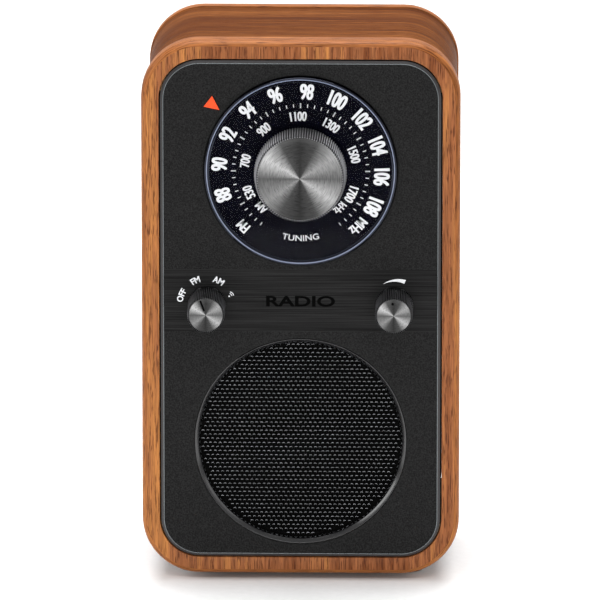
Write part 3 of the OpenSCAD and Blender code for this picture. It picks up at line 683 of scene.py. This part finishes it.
# The CAD nodes that stay as they are, with the finish of each.
FINISHES = {
    "corner_blocks": PINE, "rubber_feet": FOOT_RUBBER, "front_panel": PANEL, "tuning_pointer": ORANGE,
    "dust_cloth": CLOTH, "speaker_basket": STEEL_ZINC, "speaker_magnet": FERRITE,
    "speaker_yoke": STEEL_ZINC, "speaker_surround": SOFT_RUBBER, "speaker_cone": CONE_PAPER,
    "dust_cap": CONE_PAPER, "voice_coil": VOICE_WIRE, "speaker_terminals": PHENOLIC,
    "speaker_screws": STEEL_ZINC, "tuning_control": STEEL_ZINC, "band_switch": STEEL_ZINC,
    "volume_control": STEEL_ZINC, "shaft_nuts": STEEL_ZINC, "dial_plate": DIAL_FACE,
    "tuning_shaft": STEEL_TURNED, "band_shaft": STEEL_TURNED, "volume_shaft": STEEL_TURNED,
    "main_board": BOARD, "board_chips": CHIP, "wireless_module": TINNED, "capacitors": SLEEVE,
    "board_screws": STEEL_ZINC, "ferrite_rod": FERRITE, "ferrite_coil": COIL_WIRE,
    "ferrite_clamps": IVORY, "rear_panel": REAR_ABS, "jack_board": BOARD, "aux_jack": SOCKET_ABS,
    "phones_jack": SOCKET_ABS, "power_inlet": SOCKET_ABS, "battery_tray": REAR_ABS,
    "battery_door": REAR_ABS, "antenna_swivel": CHROME, "antenna_knuckle": CHROME,
    "antenna_tube_1": CHROME, "antenna_tube_2": CHROME, "antenna_tube_3": CHROME,
    "antenna_tube_4": CHROME, "antenna_rod": CHROME, "leads": WIRE_PVC,
}
for node, material in FINISHES.items():
    for place in NODES[node].material_slots:
        place.material = material


# ---------- cabinet ----------

def cabinet():
    """The two rims and the waist between them, each a moulding with softened edges."""
    opening, waist = CORNER_R - WOOD_W, CORNER_R - WAIST_SUNK
    rim_back = edge("front_frame", 1)
    rear_front, rear_back = edge("rear_frame", 0), edge("rear_frame", 1)
    rear_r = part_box("rear_frame")[1].x / MM - CORE_X
    # The flat face meets the round-over at a crisp edge, broken by a tenth of a millimetre.
    rim = [(opening, rim_back), (opening, 0.25), (opening + 0.07, 0.07), (opening + 0.25, 0.0)]
    start = math.radians(35)
    for i in range(13):
        a = start + (math.pi / 2 - start) * i / 12
        out = ROUND_W * (math.sin(a) - math.sin(start)) / (1 - math.sin(start))
        back = ROUND_D * (math.cos(start) - math.cos(a)) / math.cos(start)
        rim.append((CORNER_R - ROUND_W + out, back))
    rim += [(CORNER_R, rim_back - 0.3), (CORNER_R - 0.09, rim_back - 0.09), (CORNER_R - 0.3, rim_back)]
    bands = [0] * 4 + [1] * (len(rim) - 4)
    piece("front_rim", moulding(rim, bands), "cabinet", [WALNUT_FACE, WALNUT_EDGE],
          ["front_frame"])
    band = [(opening, rim_back), (waist, rim_back), (waist, rear_front), (opening, rear_front)]
    piece("waist", moulding(band), "cabinet", [WALNUT_WAIST], ["cabinet_sleeve"])
    rear = [(opening, rear_front), (rear_r - 0.25, rear_front), (rear_r - 0.07, rear_front + 0.07),
            (rear_r, rear_front + 0.25), (rear_r, rear_back - 0.3), (rear_r - 0.09, rear_back - 0.09),
            (rear_r - 0.3, rear_back), (opening + 0.25, rear_back), (opening, rear_back - 0.25)]
    piece("rear_rim", moulding(rear), "cabinet", [WALNUT_EDGE], ["rear_frame"])


cabinet()


def panel_border():
    """The panel's bevel, moulded smoother than its face, with a painted sheen, and a fine bead along the
    inner edge whose pale metal is a painted highlight.
    """
    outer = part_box("front_panel")[1].x / MM - CORE_X
    inner, lift = outer - 0.9, 0.02
    border = [(inner - 0.14, PANEL_Y + 0.08)]
    border += [(inner - 0.12 * math.cos(math.radians(a)), PANEL_Y - 0.08 * math.sin(math.radians(a)))
               for a in range(0, 181, 20)]
    border += [(outer + 0.01, PANEL_Y + 0.54 - lift), (outer + 0.02, PANEL_Y + 1.2),
               (outer - 0.2, PANEL_Y + 1.2)]
    bands = [1] * 10 + [0] * 4
    piece("panel_border", moulding(border, bands), "cabinet", [BEVEL_PAINTED_SHEEN, BEAD_PAINTED_HIGHLIGHT])


panel_border()


# ---------- loudspeaker grille ----------

def grille():
    """A turned trim ring, and a steel disc with some 1500 round holes in staggered rows."""
    depth = PANEL_Y + 1.6
    ring = [(31.9, depth), (32.0, depth - 0.5), (32.1, depth - 0.62), (33.0, depth - 1.6),
            (33.12, depth - 1.69), (33.2, depth - 1.71), (33.3, depth - 1.64), (33.4, depth - 1.45),
            (33.4, depth)]
    piece("grille_trim", turned(ring, 0, SPEAKER_Z, 192), "cabinet", [TRIM_DARK],
          ["grille_ring"])

    # One cell: a hexagon with a round hole. Its upper lip is rolled over by the punch; only that lip is
    # bright steel, a painted glint.
    pitch, row, hole, sides = 1.54, 1.334, 0.52, 12
    web, lip = ([], []), ([], [])
    for i in range(sides):
        a = math.radians(30 * i)
        reach = pitch / math.sqrt(3) if i % 2 == 0 else pitch / 2
        for r, d in ((reach, 0.0), (hole, 0.02), (hole, 0.6)):
            web[0].append(Vector((r * math.sin(a), d, r * math.cos(a))) * MM)
        k = (i + 1) % sides
        web[1].extend((3 * i + j, 3 * k + j, 3 * k + j + 1, 3 * i + j + 1) for j in range(2))
    for i in range(7):
        a = math.radians(19 * (i - 3))
        thick = 0.1 * math.cos(math.radians(27 * (i - 3)))
        for r, d in ((hole + thick, 0.01), (hole + thick / 2, -0.04), (hole - 0.03, 0.08)):
            lip[0].append(Vector((r * math.sin(a), d, r * math.cos(a))) * MM)
        if i:
            lip[1].extend((3 * i - 3 + j, 3 * i + j, 3 * i + j + 1, 3 * i - 2 + j) for j in range(2))
    meshes = {}
    for name, (points, faces), paint in (("perforated_grille", web, GRILLE_PAINT),
                                         ("grille_lips", lip, LIP_PAINTED_GLINT)):
        cell = shaped(points, faces)
        mesh = grown(CELLS, {"Cell": cell, "Columns": 45, "Rows": 51, "Pitch": pitch * MM,
                             "Row pitch": row * MM, "Radius": 31.0 * MM, "Material": paint})
        mesh.transform(Matrix.Translation(at(0, depth, SPEAKER_Z)))
        # The cells are open sheets, so the front face's direction is tested, not recalculated.
        if mesh.polygons[0].normal.y > 0:
            mesh.flip_normals()
        meshes[name] = mesh
    plate = [(31.3, depth + 0.05), (35.1, depth + 0.05), (35.1, depth + 0.6), (31.3, depth + 0.6)]
    web_and_rim = [meshes["perforated_grille"], turned(plate, 0, SPEAKER_Z, 96)]
    piece("perforated_grille", joined(web_and_rim), "cabinet", [GRILLE_PAINT],
          ["speaker_grille"])
    # The disc's edge is rolled back over the outermost holes, which leaves a row of scallops; their bright
    # steel is the same painted glint.
    cell.transform(Matrix.Translation((0, -0.1 * MM, 31.25 * MM)))
    scallops = ring_of(cell, 130, 0, 360 / 130, 0, SPEAKER_Z, LIP_PAINTED_GLINT, depth)
    meshes["grille_lips"].shade_smooth()
    piece("grille_lips", joined([meshes["grille_lips"], scallops]), "cabinet", [LIP_PAINTED_GLINT])


grille()


# ---------- dial and knobs ----------

def rib(profile, width, sink):
    """One rib of a knob at the top of its circle: a ridge along a (radius, depth) profile."""
    points, faces = [], []
    for radius, depth in profile:
        for x, r in ((-width / 2, radius - sink), (0, radius), (width / 2, radius - sink)):
            points.append(Vector((x, depth, r)) * MM)
    for i in range(len(profile) - 1):
        a, b = 3 * i, 3 * i + 3
        faces += [(a, a + 1, b + 1, b), (a + 1, a + 2, b + 2, b + 1), (a + 2, a, b, b + 2)]
    last = 3 * (len(profile) - 1)
    faces += [(0, 2, 1), (last, last + 1, last + 2)]
    return shaped(points, faces)


def tuning_knob():
    """The big knob: 108 fine ribs round a satin body, and a spun cap in its recess."""
    y, z = DIAL_Y, DIAL_Z
    front = edge("tuning_knob", 0)
    body = [(3.2, y), (14.15, y), (14.25, y - 0.15), (14.05, y - 0.6), (13.62, front + 0.8),
            (13.6, front + 0.3), (13.57, front + 0.08), (13.53, front), (13.49, front + 0.05),
            (13.46, front + 0.2), (13.46, front + 0.9), (3.2, front + 0.9)]
    line = [(14.1, -0.35), (14.55, -0.6), (14.38, -4.5), (14.08, front - y + 0.6), (13.8, front - y + 0.15)]
    ribs = ring_of(rib(line, 0.32, 0.6), 108, 0, 360 / 108, 0, z, RIB_PAINTED_HIGHLIGHT, y)
    piece("tuning_knob_ribs", ribs, "tuning_dial", [RIB_PAINTED_HIGHLIGHT])
    piece("tuning_knob_body", turned(body, 0, z), "tuning_dial", [KNOB_ABS], ["tuning_knob"])
    front += 0.1
    cap = [(0, front), (4, front), (10, front + 0.02), (13.0, front + 0.06), (13.3, front + 0.16),
           (13.4, front + 0.3), (13.4, front + 0.8), (0, front + 0.8)]
    piece("tuning_knob_face", turned(cap, 0, z, 160), "tuning_dial", [SPUN],
          ["tuning_knob_cap"])


def small_knob(name, x, body_name, mark):
    """A small knob: 60 ribs, a spun cap, and a mark that shows its setting."""
    y, z = PANEL_Y, KNOBS_Z
    front = edge(name, 0)
    body = [(3.2, y - 0.35), (5.6, y - 0.35), (5.68, y - 0.5), (5.62, y - 0.95), (5.58, front + 0.6),
            (5.57, front + 0.2), (5.55, front + 0.05), (5.53, front), (5.51, front + 0.05),
            (5.5, front + 0.15), (5.5, front + 0.6), (3.2, front + 0.6)]
    knob = turned(body, x, z, 96)
    line = [(5.6, -0.5), (5.97, -0.95), (5.86, front - y + 0.6), (5.7, front - y + 0.12)]
    ribs = ring_of(rib(line, 0.24, 0.45), 60, 0, 6, x, z, FINE_RIB_PAINTED_HIGHLIGHT, y)
    front += 0.1
    cap = [(0, front), (2, front), (5.0, front + 0.03), (5.3, front + 0.12), (5.42, front + 0.26),
           (5.45, front + 0.5), (0, front + 0.5)]
    piece(name + "_ribs", ribs, body_name, [FINE_RIB_PAINTED_HIGHLIGHT])
    piece(name + "_body", knob, body_name, [KNOB_ABS], [name])
    piece(name + "_face", turned(cap, x, z, 96), body_name, [SPUN], [name + "_cap"])
    angle = math.radians(mark[0])
    if mark[1] == "line":
        outline = [(-0.3, 1.4), (0.3, 1.4), (0.3, 5.0), (-0.3, 5.0)]
    else:
        outline = [(0.42 * math.cos(t * math.pi / 8), 3.9 + 0.42 * math.sin(t * math.pi / 8))
                   for t in range(16)]
    turn = [(x + px * math.cos(angle) + pz * math.sin(angle),
             z - px * math.sin(angle) + pz * math.cos(angle)) for px, pz in outline]
    piece(name + "_mark", slab(turn, front - 0.02, front + 0.1), body_name, [DARK_INK])


def dial():
    """The printed dial under its clear cover."""
    y, z, printed = DIAL_Y, DIAL_Z, PRINT_Y - 0.02
    # The sheet lies 0.6 mm below the crest of the rim, whose sloping inner wall catches the light.
    rim = [(3.2, y + 1.0), (3.2, y + 0.6), (28.6, y + 0.6), (28.7, y + 0.56), (29.28, y + 0.225),
           (29.6, y + 0.04), (29.72, y)]
    for i in range(1, 9):
        a = math.radians(90 - 11.25 * i)
        rim.append((29.72 + 0.48 * math.cos(a), y + 0.48 - 0.48 * math.sin(a)))
    rim += [(30.2, y + 2.7), (29.2, y + 2.7), (29.2, y + 1.15), (29.1, y + 1.0)]
    # Band 2, a line on the rim's inner wall, is the painted highlight.
    bands = [1, 1, 0, 0, 2] + [0] * (len(rim) - 6) + [1]
    piece("dial_window", turned(rim, 0, z, 192, bands), "tuning_dial", [RIM, SHEET, RIM_PAINTED_HIGHLIGHT],
          ["dial_lens"])
    marks = []
    for i in range(11):
        marks.append(lettering(str(88 + 2 * i), 0, z, 5.0, printed, -107.7 + 22.43 * i, 25.5, 0.6, 0.01,
                               0.36))
    for text, turn in (("FM", -134.8), ("MHz", 134.6)):
        marks.append(lettering(text, 0, z, 3.3, printed, turn, 25.3, 0.64, 0.01, 0.2))
    for text, turn in (("530", -113), ("700", -79.4), ("900", -40.7), ("1100", -2.3), ("1300", 33.3),
                       ("1500", 72.7), ("1700", 115)):
        marks.append(lettering(text, 0, z, 3.0, printed, turn, 17.6, 0.68, 0.01, 0.2))
    for text, turn in (("AM", -134), ("kHz", 134)):
        marks.append(lettering(text, 0, z, 2.5, printed, turn, 17.1, 0.7, 0.01, 0.14))
    marks.append(lettering("TUNING", 0, z, 1.9, printed, 180, 21.6, 1.15, 0.01, upright=True))
    for length, width, count, step, first in ((1.05, 0.26, 49, 6, -144), (1.55, 0.4, 9, 30, -120)):
        low, high = 21 - length / 2, 21 + length / 2
        corners = [(-width / 2, low), (width / 2, low), (width / 2, high), (-width / 2, high)]
        tick = slab(corners, printed - 0.015, printed + 0.015)
        tick.transform(AT_ORIGIN)
        marks.append(ring_of(tick, count, first, step, 0, z, WHITE_INK))
    piece("dial_scales", joined(marks), "tuning_dial", [WHITE_INK])


dial()
tuning_knob()
small_knob("band_knob", -KNOBS_X, "band_selector", (-20, "line"))
small_knob("volume_knob", KNOBS_X, "volume_dial", (-5.3, "dot"))


# ---------- printing on the panel ----------

def panel_print():
    """White marks round the two small knobs and the dark word between them."""
    top, x, z = PANEL_Y - 0.015, KNOBS_X, KNOBS_Z
    marks = [lettering(text, -x, z, 2.0, top, turn, 8.6, 0.9, 0.02, 0.08)
             for text, turn in (("OFF", -70), ("FM", -25), ("AM", 25))]
    # Wireless: a dot with two arcs.
    cx = -x + 8.3 * math.sin(math.radians(68))
    cz = z + 8.3 * math.cos(math.radians(68))
    near, far = top - 0.015, top + 0.015
    marks.append(arc_slab(cx - 0.7, cz - 0.4, 0, 360, 0.001, 0.26, near, far, 16))
    for radius in (0.75, 1.3):
        marks.append(arc_slab(cx - 0.7, cz - 0.4, 10, 80, radius, radius + 0.25, near, far, 12))
    marks.append(arc_slab(x, z, -27.6, 24, 7.7, lambda t: 7.72 + 1.28 * t, near, far))
    piece("panel_marks", joined(marks), "cabinet", [WHITE_INK])
    piece("panel_word", lettering("RADIO", 0, 91.0, 3.5, top, 0, 0, 1.55, 0.03), "cabinet",
          [DARK_INK])


panel_print()


# ---------- back ----------

def screw_head(radius, height):
    """A flat screw head with a cross recess, facing +Y, with its top at the origin."""
    arm, half, deep = radius * 0.55, radius * 0.13, height * 0.6
    cross = [(half, arm), (half, half), (arm, half), (arm, -half), (half, -half), (half, -arm),
             (-half, -arm), (-half, -half), (-arm, -half), (-arm, half), (-half, half), (-half, arm)]
    work = bmesh.new()
    outer = [work.verts.new(Vector((radius * math.sin(math.atan2(x, z)), 0,
                                    radius * math.cos(math.atan2(x, z)))) * MM) for x, z in cross]
    soft = [work.verts.new(Vector((v.co.x * 0.93, 0.08 * MM, v.co.z * 0.93))) for v in outer]
    lip = [work.verts.new(Vector((x, 0.08, z)) * MM) for x, z in cross]
    floor = [work.verts.new(Vector((x * 0.8, 0.08 - deep, z * 0.8)) * MM) for x, z in cross]
    foot = [work.verts.new(Vector((v.co.x * 0.5, -height * MM, v.co.z * 0.5))) for v in outer]
    for i in range(12):
        k = (i + 1) % 12
        for a, b in ((foot, outer), (outer, soft), (soft, lip), (lip, floor)):
            work.faces.new((a[i], a[k], b[k], b[i]))
    work.faces.new(floor)
    work.faces.new(foot[::-1])
    bmesh.ops.recalc_face_normals(work, faces=work.faces)
    mesh = bpy.data.meshes.new("screw_head")
    work.to_mesh(mesh)
    work.free()
    mesh.shade_smooth()
    mesh.set_sharp_from_angle(angle=math.radians(30))
    return mesh


def rear_details():
    """Screws with cross recesses, socket rims and names, grip ribs on the battery door."""
    low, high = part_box("rear_screws")
    inset = 2.7 * MM
    corners = [(x, low.z + inset) for x in (low.x + inset, high.x - inset)]
    corners += [(x, high.z - inset) for x in (low.x + inset, high.x - inset)]
    spots = shaped([(x, high.y - 0.08 * MM, z) for x, z in corners], [])
    heads = grown(PLACES, {"Shape": screw_head(2.7, 1.5), "Turn": 6.283, "Seed": 4, "Material": BLACK_OXIDE},
                  spots)
    piece("rear_screw_heads", heads, "cabinet", [BLACK_OXIDE], ["rear_screws"])
    # Thin nickel rings in the mouths of the sockets
    for name, x, bore, label in SOCKETS:
        back, outer = edge(name, 1), bore + 0.6
        ring = [(bore, back - 0.5), (bore, back + 0.05), (bore + 0.12, back + 0.15),
                (bore + 0.5, back + 0.15), (outer, back + 0.05), (outer, back - 0.5)]
        piece(name + "_ring", turned(ring, x, SOCKETS_Z, 48), "cabinet", [NICKEL])
    names = [lettering(label, x, SOCKETS_Z - 6.8, 2.0, REAR_Y, 0, 0, 0.9, 0.01, rear=True)
             for name, x, bore, label in SOCKETS]
    piece("socket_names", joined(names), "cabinet", [WHITE_INK])
    ribs = []
    for i in range(5):
        z = 74.6 - 1.9 * i
        half = 8 - 0.9 * i
        outline = [(half * math.cos(t * math.pi / 6), z + 0.45 * math.sin(t * math.pi / 6))
                   for t in range(12)]
        ribs.append(slab(outline, REAR_Y - 0.1, REAR_Y + 0.35))
    piece("door_grip", joined(ribs), "battery_cover", [REAR_ABS])


rear_details()


# ---------- battery compartment ----------

def batteries():
    """Four round cells, each with a film jacket, and the sprung contacts at their ends."""
    low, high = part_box("battery_cells")
    radius = 7.1
    cell_y = (high.y - FACE) / MM - radius
    first = low.z / MM + radius
    pitch = (high.z / MM - radius - first) / 3
    half = high.x / MM
    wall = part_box("battery_contacts")[1].x / MM
    jackets, springs = [], []
    for i in range(4):
        side = 1 if i % 2 == 0 else -1
        z = first + pitch * i
        # The cell's axis is X: the profile is (radius, place along the cell from its flat end).
        length = 2 * half
        profile = [(0, 0.12), (3.2, 0.12), (4.2, 0.3), (6.4, 0.3), (6.8, 0.0), (7.02, 0.12), (7.1, 0.4),
                   (7.1, length - 15), (7.1, length - 1.7), (6.9, length - 1.35), (6.3, length - 1.3),
                   (5.4, length - 1.45), (2.8, length - 1.4), (2.6, length - 1.2), (2.6, length - 0.25),
                   (2.35, length), (0, length)]
        bands = [2, 2, 2, 2, 2, 0, 0, 1, 1, 2, 2, 2, 2, 2, 2, 2]
        cell = turned(profile, 0, 0, 48, bands, closed=False)
        cell.transform(AT_ORIGIN)
        # Depth goes along X, from the flat end to the button.
        cell.transform(Matrix.Rotation(math.radians(-90 * side), 4, "Z"))
        cell.transform(Matrix.Translation(at(-side * half, cell_y, z)))
        jackets.append(cell)
        # The plate and spring at the flat end, the plate and button at the other.
        for end in (-1, 1):
            plate = slab([(-5.5, -5.5), (5.5, -5.5), (5.5, 5.5), (-5.5, 5.5)], -0.25, 0.25)
            plate.transform(AT_ORIGIN)
            plate.transform(Matrix.Rotation(math.radians(90), 4, "Z"))
            plate.transform(Matrix.Translation(at(end * (wall - 0.25), cell_y, z)))
            springs.append(plate)
    piece("cells_in_jackets", joined(jackets), "cabinet", [CELL_JACKET, CELL_BAND, NICKEL],
          ["battery_cells"])
    for i in range(4):
        side = 1 if i % 2 == 0 else -1
        z = first + pitch * i
        wire = grown(COIL, {"Turns": 3.5, "First radius": 3.3 * MM, "Last radius": 2.1 * MM,
                            "Length": 1.75 * MM, "Wire radius": 0.28 * MM, "Points per turn": 24,
                            "Material": NICKEL})
        wire.transform(Matrix.Rotation(math.radians(90 * side), 4, "Y"))
        wire.transform(Matrix.Translation(at(-side * (wall - 0.5), cell_y, z)))
        springs.append(wire)
        stud = turned([(0, 0), (2.0, 0), (2.4, 0.3), (2.4, 2.1), (0, 2.1)], 0, 0, 32)
        stud.transform(AT_ORIGIN)
        stud.transform(Matrix.Rotation(math.radians(-90 * side), 4, "Z"))
        stud.transform(Matrix.Translation(at(side * (wall - 2.6), cell_y, z)))
        springs.append(stud)
    piece("sprung_contacts", joined(springs), "cabinet", [NICKEL], ["battery_contacts"])


batteries()


# ---------- camera, floor and light ----------

def studio():
    """A plain pale floor, soft light from above, both sides and the front, and a long-lens camera."""
    floor_material, tree, shader = principled("matt white paper", "#F2F2F2", 0.85)
    fibre = add(tree, "ShaderNodeTexNoise", Vector=object_place(tree), Scale=400.0, Detail=3.0)
    feed(tree, shader, Base_Color=ramp(tree, fibre.outputs[0], (0.3, "#F0F0F0"), (0.7, "#F4F4F4")))
    mesh = shaped([(-20, -20, 0), (20, -20, 0), (20, 20, 0), (-20, 20, 0)], [(0, 1, 2, 3)])
    mesh.materials.append(floor_material)
    floor = bpy.data.objects.new("floor", mesh)
    bpy.context.scene.collection.objects.link(floor)

    world = bpy.data.worlds.new("studio")
    bpy.context.scene.world = world
    world.use_nodes = True
    world.node_tree.nodes["Background"].inputs["Color"].default_value = (1.0, 1.0, 1.0, 1.0)
    world.node_tree.nodes["Background"].inputs["Strength"].default_value = 0.62

    aim = Vector((0, 0, 0.085))
    for name, place, size, power in (
            ("overhead", (0.0, 0.3, 1.2), (1.0, 0.8), 22),
            ("left", (-1.4, 0.0, 0.75), (0.6, 1.0), 8),
            ("right", (1.4, 0.0, 0.75), (0.6, 1.0), 2.5),
            ("front", (0.0, -1.1, 1.3), (1.5, 0.14), 5),
            ("low", (0.0, -1.8, 0.3), (1.6, 0.4), 7)):
        light = bpy.data.lights.new(name, "AREA")
        light.shape = "RECTANGLE"
        light.size, light.size_y = size
        light.energy = power
        lamp = bpy.data.objects.new(name, light)
        lamp.location = place
        lamp.rotation_euler = (aim - Vector(place)).to_track_quat("-Z", "Y").to_euler()
        lamp.visible_camera = False
        bpy.context.scene.collection.objects.link(lamp)

    lens = bpy.data.cameras.new("camera")
    lens.lens, lens.sensor_width = 586.0, 36.0
    lens.clip_start, lens.clip_end = 0.1, 100
    camera = bpy.data.objects.new("camera", lens)
    camera.location = (0.0595, -3.0, 0.8367)
    pitch, yaw = math.radians(14.07), math.radians(-1.15)
    ahead = Vector((math.sin(yaw) * math.cos(pitch), math.cos(yaw) * math.cos(pitch), -math.sin(pitch)))
    camera.rotation_euler = ahead.to_track_quat("-Z", "Y").to_euler()
    bpy.context.scene.collection.objects.link(camera)
    bpy.context.scene.camera = camera
    bpy.context.scene.view_settings.view_transform = "Standard"


studio()
